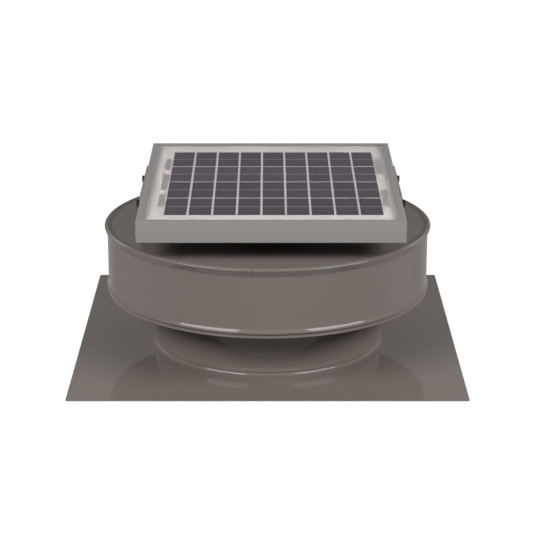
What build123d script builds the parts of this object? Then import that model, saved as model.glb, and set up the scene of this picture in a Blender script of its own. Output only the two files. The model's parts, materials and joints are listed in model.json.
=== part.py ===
"""Solar roof fan: a square roof flange with a round stack, a flat round hood on four legs, a motor with
a five-bladed fan inside the stack, and a framed solar panel that tilts on two brackets over the hood.

Units are millimetres. The origin is the centre of the flange's underside, +Z is up, and -Y is the
front, the side that faces down the roof.
"""
from build123d import *
import math
import os

os.makedirs("parts", exist_ok=True)

# Sheet metal housing
SHEET = 1.2  # flange, stack and hood sheet
SEAT_GAP = 0.1  # between formed sheets that lie against each other on curved faces
HOLE_GAP = 0.05  # round a rivet, a screw or a pressed-in ring, on the radius
BEAD_HALF = 3.5  # half the height of a pressed bead
HEM = 3.2  # height of a folded edge

FLANGE_SIDE = 457.0
FLANGE_CORNER = 2.5
STACK_SETBACK = 20.0  # the stack stands this far in front of the flange's centre

STACK_RADIUS = 138.0  # outside of the wall
STACK_TOP = 98.0
STACK_FOOT = 0.8  # plain wall between the flange and the bead
STACK_BEAD_OUT = 2.4

HOOD_BOTTOM = 69.5
HOOD_TOP = 151.4  # flat outer part of the lid
HOOD_BEAD_Z = 76.5
HOOD_BEAD_OUT = 1.9
CROWN_RISE = 6.0
CROWN_CLEARANCE = 1.0  # from the crown's foot to the rubber ring in the lid

# Rolled ring that locks the lid to the band
RIM_RADIUS = 196.8  # outside of the hood
RIM_OUT = 3.3  # it stands out this far from the band
RIM_ROUND = 4.2  # rounding of its top edge
RIM_FOOT = 143.0  # its lower edge
RIM_EDGE = 1.2  # its thickness at the lower edge
RIM_LIP = 8.0  # its width on top, from the outside
RIM_JOINT = 0.6  # gap where its two ends meet
RIM_JOINT_TURN = 5.0  # from the front towards the left, in degrees

# Hood legs, between the stack's wall and the lid
LEG_COUNT = 4
LEG_WIDTH = 22.0
LEG_SHEET = 2.0
LEG_BEND = 4.0  # bend radius at mid sheet
LEG_FOOT = 24.0
LEG_BOTTOM = 62.0
LEG_RIVET_ROWS = (8.0, 26.0)  # heights above the leg's lower end
RIVET_RADIUS = 2.0
RIVET_HEAD_RADIUS = 4.0
RIVET_HEAD_FLAT = 2.2  # radius of the flat on top of the head
RIVET_HEAD_RISE = 1.6
RIVET_TAIL_RADIUS = 3.2
RIVET_TAIL = 1.4

# Screen between the stack's top and the lid
SCREEN_SHEET = 0.8
SCREEN_INSET = 0.4  # from the outside of the stack
SCREEN_SLOTS = 48
SCREEN_SLOT_WIDTH = 9.0
SCREEN_EDGE = 6.0

# Strap across the stack, and the motor that stands on it
STRAP_Z = 22.0
STRAP_SHEET = 2.0
STRAP_WIDTH = 56.0
STRAP_LIP = 8.0
STRAP_TAB = 22.0
MOTOR_RADIUS = 32.0
MOTOR_WALL = 2.5
MOTOR_FLOOR = 9.0
MOTOR_HEIGHT = 41.0  # of the can, without its lid
MOTOR_LID = 3.0
BEARING_RADIUS = 11.0
BEARING_WIDTH = 7.0
BEARING_LAND = 2.0  # floor under the lower bearing
BEARING_BOSS_WALL = 3.0
MAGNET_THICKNESS = 4.2
MAGNET_ARC = 140.0
AIR_GAP = 0.8
ARMATURE_LENGTH = 20.0
ARMATURE_SLOTS = 7
ARMATURE_SLOT_WIDTH = 4.0
ARMATURE_SLOT_DEPTH = 8.0
MOTOR_SCREWS = 4
MOTOR_SCREW_RADIUS = 2.0
MOTOR_SCREW_HEAD = 3.6
MOTOR_SCREW_HEAD_RISE = 2.6
MOTOR_SCREW_DEPTH = 6.0
MOTOR_SCREW_CIRCLE = 24.0

# Shaft and fan
SHAFT_RADIUS = 4.0
SHAFT_RUNNING_GAP = 0.05
SHAFT_LID_GAP = 1.0
SHAFT_END_GAP = 1.0
SHAFT_PAST_NUT = 2.0
FAN_Z = 83.0  # middle of the blades
FAN_TIP_GAP = 6.8  # from the blade tips to the stack's wall
FAN_BLADES = 5
HUB_RADIUS = 30.0
HUB_HEIGHT = 22.0
HUB_WALL = 3.0
HUB_CROWN = 4.0
HUB_BOSS_RADIUS = 9.0
BLADE_ROOT_CHORD = 44.0
BLADE_MID_CHORD = 62.0
BLADE_TIP_CHORD = 74.0
BLADE_ROOT_PITCH = 38.0
BLADE_MID_PITCH = 26.0
BLADE_TIP_PITCH = 18.0
BLADE_CAMBER = 0.07  # rise of the section's middle, as a share of its chord
BLADE_THICKNESS = 2.4
BLADE_EDGE = 1.0
HUB_WASHER_RADIUS = 8.0
HUB_WASHER = 1.5
HUB_NUT_FLATS = 13.0
HUB_NUT = 6.5

# Solar panel, in its own frame: X across, Y front to back, Z up from the frame's underside
PANEL_WIDTH = 303.0
PANEL_DEPTH = 343.0
PANEL_HEIGHT = 25.0
PANEL_SHIFT = 4.0  # to the right of the stack's axis
PANEL_Z = 178.0  # underside of the frame above the stack's axis
PANEL_TILT = 0.8  # at rest, rear edge up
TILT_RANGE = 4.0  # each way from rest
RAIL_WALL = 1.5
RAIL_LIP = 8.0  # width of the lips above and below the laminate
RAIL_FOOT = 14.0  # width of the flange at the bottom
GLASS = 3.2
CELL = 0.4
BACKSHEET = 0.5
LAMINATE_TOP_GAP = 0.3
LAMINATE_SIDE_GAP = 0.4
CELL_COLUMNS = 9
CELL_ROWS = 4
CELL_WIDTH = 25.4
CELL_DEPTH = 66.0
CELL_GAP = 2.6
CELL_SHIFT_X = 3.0  # the cells sit off the middle, towards the right
RIBBON_WIDTH = 7.0
RIBBON_REACH = 5.5  # from the cells' edge to a cross ribbon's middle
RIBBON_LEAD = 50.0  # length of the two that lead to the junction box
KEY_LEG = 22.0
KEY_SHEET = 3.0
KEY_GAP = 0.5  # above the rail's foot and under its lip
BOX_WIDTH = 64.0
BOX_DEPTH = 52.0
BOX_HEIGHT = 13.0
BOX_WALL = 2.0
BOX_LID = 2.0
BOX_ROUND = 4.0
BOX_Y = 96.0
GLAND_RADIUS = 5.0
GLAND_NUT_RADIUS = 6.2
GLAND_LENGTH = 14.0
GLAND_NUT_LENGTH = 7.0
GLAND_BORE = 2.6

# Side brackets and their bolts
BRACKET_SHEET = 1.5
BRACKET_LENGTH = 150.0
BRACKET_FOOT = 26.0
BRACKET_BEND = 2.5
BRACKET_CORNER = 8.0
BRACKET_RIVET_Y = 45.0
BRACKET_SIDE_GAP = 0.3  # between the bracket and the panel's frame
PIVOT_Y = -59.0
LOCK_Y = 46.0
BOLT_RADIUS = 2.5
BOLT_FLATS = 8.0
BOLT_HEAD = 3.5
BOLT_PAST_NUT = 1.5
BOLT_HOLE_GAP = 0.08
SLOT_GAP = 0.4
WASHER_RADIUS = 5.0
WASHER = 1.0
WASHER_GAP = 0.2
NUT = 4.0

# Rubber ring where the panel's lead enters the hood
GROMMET_CLEARANCE = 0.8  # to the screen behind it
GROMMET_HOLE = 6.0
GROMMET_RADIUS = 8.5
GROMMET_LIP = 2.0
GROMMET_BORE = 3.0

# Places and sizes that follow from the values above
STACK = Pos(0, -STACK_SETBACK, 0)
STACK_BORE = STACK_RADIUS - SHEET
STACK_BEAD_Z = SHEET + STACK_FOOT + BEAD_HALF
HOOD_RADIUS = RIM_RADIUS - RIM_OUT  # outside of the band
LID_UNDER = HOOD_TOP - SHEET
RIM_TOP = HOOD_TOP + SHEET
SCREEN_RADIUS = STACK_RADIUS - SCREEN_INSET
GROMMET_REACH = SCREEN_RADIUS - SCREEN_SHEET - GROMMET_CLEARANCE - GROMMET_RADIUS
CROWN_RADIUS = GROMMET_REACH - GROMMET_RADIUS - CROWN_CLEARANCE  # foot of the lid's crown
MOTOR_BASE = STRAP_Z + STRAP_SHEET
LID_Z = MOTOR_BASE + MOTOR_HEIGHT
CAN_BORE = MOTOR_RADIUS - MOTOR_WALL
HUB_TOP = FAN_Z + HUB_HEIGHT / 2
NUT_TOP = HUB_TOP + HUB_WASHER + HUB_NUT
FAN_RADIUS = STACK_BORE - FAN_TIP_GAP
PANEL_MIDDLE = STACK * Pos(PANEL_SHIFT, 0, 0)
PANEL = PANEL_MIDDLE * Pos(0, 0, PANEL_Z) * Rot(X=PANEL_TILT)
BOLT_Z = PANEL_HEIGHT / 2
LIP_UNDER = PANEL_HEIGHT - RAIL_WALL
GLASS_Z = LIP_UNDER - LAMINATE_TOP_GAP - GLASS
CELL_Z = GLASS_Z - CELL
BACKSHEET_Z = CELL_Z - BACKSHEET
RAIL_FACE = PANEL_WIDTH / 2
BRACKET_INNER = RAIL_FACE + BRACKET_SIDE_GAP
WASHER_X = BRACKET_INNER + BRACKET_SHEET + WASHER_GAP
LEG_FACE = STACK_RADIUS + SEAT_GAP


def save(node, *pieces):
    """Writes one node: a single solid, or a group of like solids."""
    solids = [solid for piece in pieces for solid in piece.solids()]
    export_step(solids[0] if len(solids) == 1 else Compound(solids), f"parts/{node}.step")


def at(radius, z):
    """Point of a profile that is turned about the Z axis."""
    return (radius, 0, z)


def turned(edges):
    """Solid of revolution about Z, from the closed edges of its half section."""
    return revolve(make_face(edges), Axis.Z)


def turned_outline(*points):
    """Solid of revolution about Z, from the corners of its half section as (radius, z)."""
    return turned(Polyline(*[at(*point) for point in points], close=True).edges())


def pipe(outer, inner, bottom, top):
    """Plain ring about Z."""
    return Pos(0, 0, bottom) * extrude(Circle(outer) - Circle(inner), top - bottom)


def folded(points, sheet, bend, width):
    """Sheet bent along a line of (x, z) points at mid sheet, as wide as given, centred on Y."""
    line = FilletPolyline(*points, radius=bend)
    return extrude(Plane.XZ * trace(line, sheet), width / 2, both=True)


def rivet(grip):
    """Rivet along X: its head stands on x = 0, and the sheets that it holds lie inwards of that."""
    tail_end = -grip - RIVET_TAIL
    return Rot(Y=90) * turned_outline(
        (0, tail_end),
        (RIVET_TAIL_RADIUS, tail_end),
        (RIVET_TAIL_RADIUS, -grip),
        (RIVET_RADIUS, -grip),
        (RIVET_RADIUS, 0),
        (RIVET_HEAD_RADIUS, 0),
        (RIVET_HEAD_FLAT, RIVET_HEAD_RISE),
        (0, RIVET_HEAD_RISE),
    )


def hexagon(flats, height):
    """Hexagonal prism along +Z, by its width across flats."""
    return extrude(RegularPolygon(flats / 2, 6, major_radius=False), height)


def formed_wall(radius, hem_end, plain_end, bead_z, bead_out):
    """Round sheet wall with one pressed bead, folded inwards to a flat hem at one end."""
    way = math.copysign(1, plain_end - hem_end)
    inner = radius - SHEET
    bead_start = bead_z - way * BEAD_HALF
    bead_end = bead_z + way * BEAD_HALF
    hem_edge = hem_end + way * HEM
    bead = ThreePointArc(at(radius, bead_start), at(radius + bead_out, bead_z), at(radius, bead_end))
    rest = Polyline(
        at(radius, bead_end),
        at(radius, plain_end),
        at(inner, plain_end),
        at(inner, bead_end),
        at(inner + bead_out, bead_z),
        at(inner, bead_start),
        at(inner, hem_edge),
        at(inner - SHEET, hem_edge),
        at(inner - SHEET, hem_end),
        at(radius, hem_end),
        at(radius, bead_start),
    )
    return turned([bead, *rest.edges()])


def leg_places():
    """Turns that carry a leg's frame, with X outwards, to each leg."""
    step = 360 / LEG_COUNT
    return [STACK * Rot(Z=step / 2 + step * index) for index in range(LEG_COUNT)]


def leg_rivet_places():
    """Places on the legs' outer faces where the rivets pass, with X outwards."""
    return [
        place * Pos(LEG_FACE + LEG_SHEET, 0, LEG_BOTTOM + row)
        for place in leg_places()
        for row in LEG_RIVET_ROWS
    ]


def bracket_rivet_places():
    """Places on top of the brackets' feet, with X upwards."""
    x = BRACKET_INNER + BRACKET_SHEET - BRACKET_FOOT / 2
    return [
        PANEL_MIDDLE * Pos(side * x, end * BRACKET_RIVET_Y, HOOD_TOP + BRACKET_SHEET) * Rot(Y=-90)
        for side in (-1, 1)
        for end in (-1, 1)
    ]


def drill(places, radius, depth):
    """Cutters along X, which reach depth to each side of their place."""
    return [place * Rot(Y=90) * Cylinder(radius, 2 * depth) for place in places]


def base_flange():
    """Square plate with the stack's bore through it."""
    plate = extrude(RectangleRounded(FLANGE_SIDE, FLANGE_SIDE, FLANGE_CORNER), SHEET)
    return plate - STACK * extrude(Circle(STACK_BORE), SHEET)


def stack():
    """Throat wall that stands on the flange, with its bead low down and its hem at the top."""
    wall = STACK * formed_wall(STACK_RADIUS, STACK_TOP, SHEET, STACK_BEAD_Z, STACK_BEAD_OUT)
    return wall - drill(leg_rivet_places(), RIVET_RADIUS + HOLE_GAP, 4 * SHEET)


def hood_band():
    """Skirt of the hood, hemmed and beaded at its lower edge."""
    return STACK * formed_wall(HOOD_RADIUS, HOOD_BOTTOM, LID_UNDER, HOOD_BEAD_Z, HOOD_BEAD_OUT)


def hood_top():
    """Lid that lies on the band and the legs, and rises to its middle so that water runs off."""
    lid = turned_outline(
        (0, HOOD_TOP + CROWN_RISE),
        (CROWN_RADIUS, HOOD_TOP),
        (HOOD_RADIUS, HOOD_TOP),
        (HOOD_RADIUS, LID_UNDER),
        (CROWN_RADIUS, LID_UNDER),
        (0, LID_UNDER + CROWN_RISE),
    )
    holes = drill(bracket_rivet_places(), RIVET_RADIUS + HOLE_GAP, 4 * SHEET)
    lead_hole = Pos(0, GROMMET_REACH, HOOD_TOP) * Cylinder(GROMMET_HOLE + HOLE_GAP, 4 * SHEET)
    return STACK * (lid - lead_hole) - holes


def hood_rim():
    """Rolled ring round the lid's edge and the top of the band, with a butt joint near the front."""
    inner = HOOD_RADIUS + SEAT_GAP
    shoulder_start = at(RIM_RADIUS - RIM_ROUND, RIM_TOP)
    shoulder_end = at(RIM_RADIUS, RIM_TOP - RIM_ROUND)
    shoulder = TangentArc(shoulder_start, shoulder_end, tangent=(1, 0, 0))
    rest = Polyline(
        shoulder_end,
        at(inner + RIM_EDGE, RIM_FOOT),
        at(inner, RIM_FOOT),
        at(inner, HOOD_TOP),
        at(RIM_RADIUS - RIM_LIP, HOOD_TOP),
        at(RIM_RADIUS - RIM_LIP, RIM_TOP),
        shoulder_start,
    )
    joint = Pos(RIM_RADIUS, 0, HOOD_TOP) * Box(4 * RIM_LIP, RIM_JOINT, 4 * (HOOD_TOP - RIM_FOOT))
    return STACK * Rot(Z=-90 - RIM_JOINT_TURN) * (turned([shoulder, *rest.edges()]) - joint)


def hood_leg(place):
    """Leg that stands on the stack's wall and turns out under the lid."""
    face = LEG_FACE + LEG_SHEET / 2
    under = LID_UNDER - LEG_SHEET / 2
    points = [(face, LEG_BOTTOM), (face, under), (face + LEG_FOOT, under)]
    leg = folded(points, LEG_SHEET, LEG_BEND, LEG_WIDTH)
    return place * leg - drill(leg_rivet_places(), RIVET_RADIUS + HOLE_GAP, 2 * LEG_SHEET)


def exhaust_screen():
    """Slotted ring from the stack's top to the lid."""
    ring = pipe(SCREEN_RADIUS, SCREEN_RADIUS - SCREEN_SHEET, STACK_TOP, LID_UNDER)
    slot_height = LID_UNDER - STACK_TOP - 2 * SCREEN_EDGE
    slot_plan = Rectangle(4 * SCREEN_RADIUS, SCREEN_SLOT_WIDTH)
    slot = Pos(0, 0, STACK_TOP + SCREEN_EDGE) * extrude(slot_plan, slot_height)
    pairs = SCREEN_SLOTS // 2
    return STACK * (ring - [Rot(Z=(index + 0.5) * 180 / pairs) * slot for index in range(pairs)])


def motor_strap():
    """Channel across the stack, with ends turned up against its wall."""
    reach = STACK_BORE - SEAT_GAP
    span = 2 * STACK_BORE
    bar = extrude(Rectangle(span, STRAP_WIDTH), STRAP_SHEET)
    lips = [
        Pos(0, side * (STRAP_WIDTH - STRAP_SHEET) / 2, -STRAP_LIP)
        * extrude(Rectangle(span, STRAP_SHEET), STRAP_LIP + STRAP_SHEET)
        for side in (-1, 1)
    ]
    channel = (bar + lips) & Pos(0, 0, -STRAP_LIP) * extrude(Circle(reach), STRAP_LIP + STRAP_SHEET)
    band = extrude(Rectangle(span, STRAP_WIDTH), STRAP_TAB)
    tabs = pipe(reach, reach - STRAP_SHEET, 0, STRAP_TAB) & band
    strap = STACK * Pos(0, 0, STRAP_Z) * (channel + tabs)
    return strap - screw_holes(MOTOR_SCREW_RADIUS + HOLE_GAP)


def screw_places():
    """Places under the strap where the motor's screws enter it, pointing up."""
    circle = PolarLocations(MOTOR_SCREW_CIRCLE, MOTOR_SCREWS, start_angle=180 / MOTOR_SCREWS)
    return [STACK * Pos(0, 0, STRAP_Z) * place for place in circle]


def screw_holes(radius):
    """Cutters for the motor's screws."""
    return [place * extrude(Circle(radius), STRAP_SHEET + MOTOR_SCREW_DEPTH) for place in screw_places()]


def motor_screws():
    """Round-headed screws from under the strap into the motor's floor."""
    head = Pos(0, 0, -MOTOR_SCREW_HEAD_RISE) * extrude(Circle(MOTOR_SCREW_HEAD), MOTOR_SCREW_HEAD_RISE)
    shank = extrude(Circle(MOTOR_SCREW_RADIUS), STRAP_SHEET + MOTOR_SCREW_DEPTH - HOLE_GAP)
    return [place * (head + shank) for place in screw_places()]


def motor_can():
    """Cup of the motor, with the lower bearing's pocket in its floor."""
    floor = MOTOR_BASE + MOTOR_FLOOR
    pocket = BEARING_RADIUS + HOLE_GAP
    land = MOTOR_BASE + BEARING_LAND
    cup = turned_outline(
        (0, MOTOR_BASE),
        (MOTOR_RADIUS, MOTOR_BASE),
        (MOTOR_RADIUS, LID_Z),
        (CAN_BORE, LID_Z),
        (CAN_BORE, floor),
        (pocket, floor),
        (pocket, land),
        (0, land),
    )
    return STACK * cup - screw_holes(MOTOR_SCREW_RADIUS + HOLE_GAP)


def motor_lid():
    """End cover of the motor, with the upper bearing's pocket in its boss."""
    pocket = BEARING_RADIUS + HOLE_GAP
    boss = pocket + BEARING_BOSS_WALL
    bore = SHAFT_RADIUS + SHAFT_LID_GAP
    return STACK * turned_outline(
        (bore, LID_Z),
        (bore, LID_Z + MOTOR_LID),
        (MOTOR_RADIUS, LID_Z + MOTOR_LID),
        (MOTOR_RADIUS, LID_Z),
        (boss, LID_Z),
        (boss, LID_Z - BEARING_WIDTH),
        (pocket, LID_Z - BEARING_WIDTH),
        (pocket, LID_Z),
    )


def motor_bearings():
    """Two ball bearings, shown as plain rings."""
    bore = SHAFT_RADIUS + SHAFT_RUNNING_GAP
    low = MOTOR_BASE + BEARING_LAND
    return [
        STACK * pipe(BEARING_RADIUS, bore, bottom, bottom + BEARING_WIDTH)
        for bottom in (low, LID_Z - BEARING_WIDTH)
    ]


def armature_bottom():
    """Lower end of the armature, midway between the bearings."""
    low = MOTOR_BASE + MOTOR_FLOOR
    high = LID_Z - BEARING_WIDTH
    return (low + high - ARMATURE_LENGTH) / 2


def motor_magnets():
    """Two curved magnets on the can's wall."""
    outer = CAN_BORE - SEAT_GAP
    bottom = armature_bottom()
    half = MAGNET_ARC / 2
    section = Plane.XZ * Pos(outer - MAGNET_THICKNESS / 2, bottom + ARMATURE_LENGTH / 2)
    magnet = revolve(section * Rectangle(MAGNET_THICKNESS, ARMATURE_LENGTH), Axis.Z, MAGNET_ARC)
    return [STACK * Rot(Z=side - half) * magnet for side in (0, 180)]


def motor_armature():
    """Slotted drum on the shaft, inside the magnets."""
    radius = CAN_BORE - SEAT_GAP - MAGNET_THICKNESS - AIR_GAP
    bottom = armature_bottom()
    drum = pipe(radius, SHAFT_RADIUS + HOLE_GAP, bottom, bottom + ARMATURE_LENGTH)
    slot_plan = Rectangle(2 * ARMATURE_SLOT_DEPTH, ARMATURE_SLOT_WIDTH)
    slot = Pos(radius, 0, bottom) * extrude(slot_plan, ARMATURE_LENGTH)
    turns = [Rot(Z=360 / ARMATURE_SLOTS * index) for index in range(ARMATURE_SLOTS)]
    return STACK * (drum - [turn * slot for turn in turns])


def motor_shaft():
    """Plain shaft, from the lower bearing to just past the hub's nut."""
    bottom = MOTOR_BASE + BEARING_LAND + SHAFT_END_GAP
    return STACK * Pos(0, 0, bottom) * extrude(Circle(SHAFT_RADIUS), NUT_TOP + SHAFT_PAST_NUT - bottom)


def blade_section(radius, chord, pitch):
    """Cambered section of a blade, seen along the blade, at a radius."""
    across = (0, math.cos(math.radians(pitch)), math.sin(math.radians(pitch)))
    plane = Plane(origin=(radius, 0, FAN_Z), x_dir=across, z_dir=(1, 0, 0))
    rise = BLADE_CAMBER * chord
    lead, trail = (-chord / 2, 0), (chord / 2, 0)
    lead_top, trail_top = (-chord / 2, BLADE_EDGE), (chord / 2, BLADE_EDGE)
    outline = [
        ThreePointArc(lead, (0, rise), trail),
        Line(trail, trail_top),
        ThreePointArc(trail_top, (0, rise + BLADE_THICKNESS), lead_top),
        Line(lead_top, lead),
    ]
    return plane * make_face(outline)


def fan_rotor():
    """Cup-shaped hub with twisted blades, moulded as one piece."""
    bottom = FAN_Z - HUB_HEIGHT / 2
    bore = SHAFT_RADIUS + HOLE_GAP
    hub = turned_outline(
        (bore, bottom),
        (HUB_BOSS_RADIUS, bottom),
        (HUB_BOSS_RADIUS, HUB_TOP - HUB_CROWN),
        (HUB_RADIUS - HUB_WALL, HUB_TOP - HUB_CROWN),
        (HUB_RADIUS - HUB_WALL, bottom),
        (HUB_RADIUS, bottom),
        (HUB_RADIUS, HUB_TOP),
        (bore, HUB_TOP),
    )
    root = HUB_RADIUS - HUB_WALL
    past_tip = FAN_RADIUS + FAN_TIP_GAP / 2
    blank = loft(
        [
            blade_section(root, BLADE_ROOT_CHORD, BLADE_ROOT_PITCH),
            blade_section((root + past_tip) / 2, BLADE_MID_CHORD, BLADE_MID_PITCH),
            blade_section(past_tip, BLADE_TIP_CHORD, BLADE_TIP_PITCH),
        ]
    )
    reach = BLADE_TIP_CHORD
    blade = blank & pipe(FAN_RADIUS, HUB_RADIUS - HUB_WALL / 2, FAN_Z - reach, FAN_Z + reach)
    blades = [Rot(Z=360 / FAN_BLADES * index) * blade for index in range(FAN_BLADES)]
    return STACK * (hub + blades)


def hub_washer():
    """Flat washer on top of the hub."""
    return STACK * pipe(HUB_WASHER_RADIUS, SHAFT_RADIUS + HOLE_GAP, HUB_TOP, HUB_TOP + HUB_WASHER)


def hub_nut():
    """Hexagonal nut that holds the hub on the shaft."""
    nut = hexagon(HUB_NUT_FLATS, HUB_NUT) - extrude(Circle(SHAFT_RADIUS + HOLE_GAP), HUB_NUT)
    return STACK * Pos(0, 0, HUB_TOP + HUB_WASHER) * nut


def hood_grommet():
    """Rubber ring with a groove that holds the lid's sheet."""
    groove = GROMMET_HOLE
    ring = turned_outline(
        (GROMMET_BORE, LID_UNDER - GROMMET_LIP),
        (GROMMET_RADIUS, LID_UNDER - GROMMET_LIP),
        (GROMMET_RADIUS, LID_UNDER),
        (groove, LID_UNDER),
        (groove, HOOD_TOP),
        (GROMMET_RADIUS, HOOD_TOP),
        (GROMMET_RADIUS, HOOD_TOP + GROMMET_LIP),
        (GROMMET_BORE, HOOD_TOP + GROMMET_LIP),
    )
    return STACK * Pos(0, GROMMET_REACH, 0) * ring


def bolt_spot(y):
    """Place on the panel's middle plane where a side bolt's axis crosses it."""
    return PANEL * Pos(0, y, BOLT_Z)


def panel_bracket():
    """Right-hand bracket: a foot under the panel and a plate beside it, with a pivot hole and a slot."""
    plate_x = BRACKET_INNER + BRACKET_SHEET / 2
    foot_x = BRACKET_INNER + BRACKET_SHEET - BRACKET_FOOT
    foot_z = HOOD_TOP + BRACKET_SHEET / 2
    top = bolt_spot(PIVOT_Y).position.Z + PANEL_HEIGHT / 2
    points = [(foot_x, foot_z), (plate_x, foot_z), (plate_x, top)]
    bracket = PANEL_MIDDLE * folded(points, BRACKET_SHEET, BRACKET_BEND, BRACKET_LENGTH)
    bracket = fillet(bracket.edges().filter_by(Axis.X).group_by(Axis.Z)[-1], BRACKET_CORNER)
    hole = Circle(BOLT_RADIUS + BOLT_HOLE_GAP)
    sweep = CenterArc((0, 0), LOCK_Y - PIVOT_Y, -TILT_RANGE, 2 * TILT_RANGE)
    slot = SlotArc(sweep, 2 * (BOLT_RADIUS + SLOT_GAP))
    side = bolt_spot(PIVOT_Y) * Pos(RAIL_FACE, 0, 0) * Plane.YZ.location
    cutter = extrude(side * hole, 4 * BRACKET_SHEET) + extrude(side * slot, 4 * BRACKET_SHEET)
    return bracket - cutter - drill(bracket_rivet_places(), RIVET_RADIUS + HOLE_GAP, 2 * BRACKET_SHEET)


def rail_profile():
    """Frame section: X inwards from the outer face, Y up from the underside."""

    def bar(x, y, width, height):
        return Pos(x + width / 2, y + height / 2) * Rectangle(width, height)

    return (
        bar(0, 0, RAIL_WALL, PANEL_HEIGHT)
        + bar(0, 0, RAIL_FOOT, RAIL_WALL)
        + bar(0, BACKSHEET_Z - RAIL_WALL, RAIL_LIP, RAIL_WALL)
        + bar(0, LIP_UNDER, RAIL_LIP, RAIL_WALL)
    )


def frame_rail(length, across):
    """Rail along X at the -Y side of a frame that measures length by across, mitred at both ends."""
    section = Plane(origin=(-length / 2, -across / 2, 0), x_dir=(0, 1, 0), z_dir=(1, 0, 0))
    bar = extrude(section * rail_profile(), length)
    mitre = Polyline(
        (-length / 2, -across / 2),
        (length / 2, -across / 2),
        (length / 2 - RAIL_FOOT, -across / 2 + RAIL_FOOT),
        (-length / 2 + RAIL_FOOT, -across / 2 + RAIL_FOOT),
        close=True,
    )
    return bar & extrude(make_face(mitre.edges()), PANEL_HEIGHT)


def side_rail():
    """Right-hand rail, drilled for the two side bolts."""
    rail = Rot(Z=90) * frame_rail(PANEL_DEPTH, PANEL_WIDTH)
    spots = [Pos(RAIL_FACE, y, BOLT_Z) for y in (PIVOT_Y, LOCK_Y)]
    return rail - drill(spots, BOLT_RADIUS + BOLT_HOLE_GAP, 2 * RAIL_WALL)


def laminate_sheet(bottom, thickness):
    """Sheet of the laminate, held in the rails' groove on all sides."""
    inset = 2 * (RAIL_WALL + LAMINATE_SIDE_GAP)
    plan = Rectangle(PANEL_WIDTH - inset, PANEL_DEPTH - inset)
    return PANEL * Pos(0, 0, bottom) * extrude(plan, thickness)


def solar_cells():
    """Rows of cut cells between the glass and the backsheet."""
    cell = extrude(Rectangle(CELL_WIDTH, CELL_DEPTH), CELL)
    grid = GridLocations(CELL_WIDTH + CELL_GAP, CELL_DEPTH + CELL_GAP, CELL_COLUMNS, CELL_ROWS)
    return [PANEL * Pos(CELL_SHIFT_X, 0, CELL_Z) * place * cell for place in grid]


def bus_ribbons():
    """Flat strips at the ends of the rows, which join one row's middle line to the next."""
    pitch = CELL_DEPTH + CELL_GAP
    rows = [pitch * (index - (CELL_ROWS - 1) / 2) for index in range(CELL_ROWS)]
    reach = (CELL_COLUMNS * (CELL_WIDTH + CELL_GAP) - CELL_GAP) / 2 + RIBBON_REACH
    strip = extrude(Rectangle(RIBBON_WIDTH, pitch), CELL)
    lead = extrude(Rectangle(RIBBON_WIDTH, RIBBON_LEAD), CELL)
    layer = PANEL * Pos(CELL_SHIFT_X, 0, CELL_Z)
    joined = [(1, rows[0], rows[1]), (-1, rows[1], rows[2]), (1, rows[2], rows[3])]
    strips = [layer * Pos(side * reach, (low + high) / 2, 0) * strip for side, low, high in joined]
    inwards = [(rows[0], RIBBON_LEAD / 2), (rows[-1], -RIBBON_LEAD / 2)]
    leads = [layer * Pos(-reach, row + half, 0) * lead for row, half in inwards]
    return strips + leads


def corner_keys():
    """Angle pieces inside the rails at the frame's corners."""
    bottom = RAIL_WALL + KEY_GAP
    height = BACKSHEET_Z - RAIL_WALL - KEY_GAP - bottom
    outer_x = PANEL_WIDTH / 2 - RAIL_WALL - SEAT_GAP
    outer_y = PANEL_DEPTH / 2 - RAIL_WALL - SEAT_GAP
    along_x = Pos(-KEY_LEG / 2, -KEY_SHEET / 2) * Rectangle(KEY_LEG, KEY_SHEET)
    along_y = Pos(-KEY_SHEET / 2, -KEY_LEG / 2) * Rectangle(KEY_SHEET, KEY_LEG)
    key = Pos(outer_x, outer_y, bottom) * extrude(along_x + along_y, height)
    right = [key, mirror(key, Plane.XZ)]
    return [PANEL * piece for piece in right + [mirror(piece, Plane.YZ) for piece in right]]


def box_outline(inset):
    """Plan of the junction box, drawn in by inset."""
    return RectangleRounded(BOX_WIDTH - 2 * inset, BOX_DEPTH - 2 * inset, BOX_ROUND - inset)


def junction_box():
    """Open box bonded to the backsheet, with a hole for the gland in its front wall."""
    bottom = BACKSHEET_Z - BOX_HEIGHT
    shell = extrude(box_outline(0), BOX_HEIGHT) - extrude(box_outline(BOX_WALL), BOX_HEIGHT - BOX_WALL)
    bore = Rot(X=90) * Cylinder(GLAND_RADIUS + HOLE_GAP, 4 * BOX_WALL)
    hole = Pos(0, -BOX_DEPTH / 2, BOX_HEIGHT / 2) * bore
    return PANEL * Pos(0, BOX_Y, bottom) * (shell - hole)


def junction_lid():
    """Cover under the junction box."""
    return PANEL * Pos(0, BOX_Y, BACKSHEET_Z - BOX_HEIGHT - BOX_LID) * extrude(box_outline(0), BOX_LID)


def cable_gland():
    """Gland through the box's front wall: a threaded neck and a round cap, bored for the lead."""
    neck = extrude(Circle(GLAND_RADIUS) - Circle(GLAND_BORE), GLAND_LENGTH)
    cap_plan = Circle(GLAND_NUT_RADIUS) - Circle(GLAND_RADIUS)
    cap = Pos(0, 0, GLAND_LENGTH - GLAND_NUT_LENGTH) * extrude(cap_plan, GLAND_NUT_LENGTH)
    middle = BACKSHEET_Z - BOX_HEIGHT / 2
    inside = Pos(0, BOX_Y - BOX_DEPTH / 2 + BOX_WALL, middle)
    return PANEL * inside * Rot(X=90) * (neck + cap)


def both_sides(piece, y):
    """A right-hand fastener, modelled along X on the panel's edge, set at y on both sides."""
    right = Pos(0, y, BOLT_Z) * piece
    return [PANEL * right, PANEL * mirror(right, Plane.YZ)]


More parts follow.
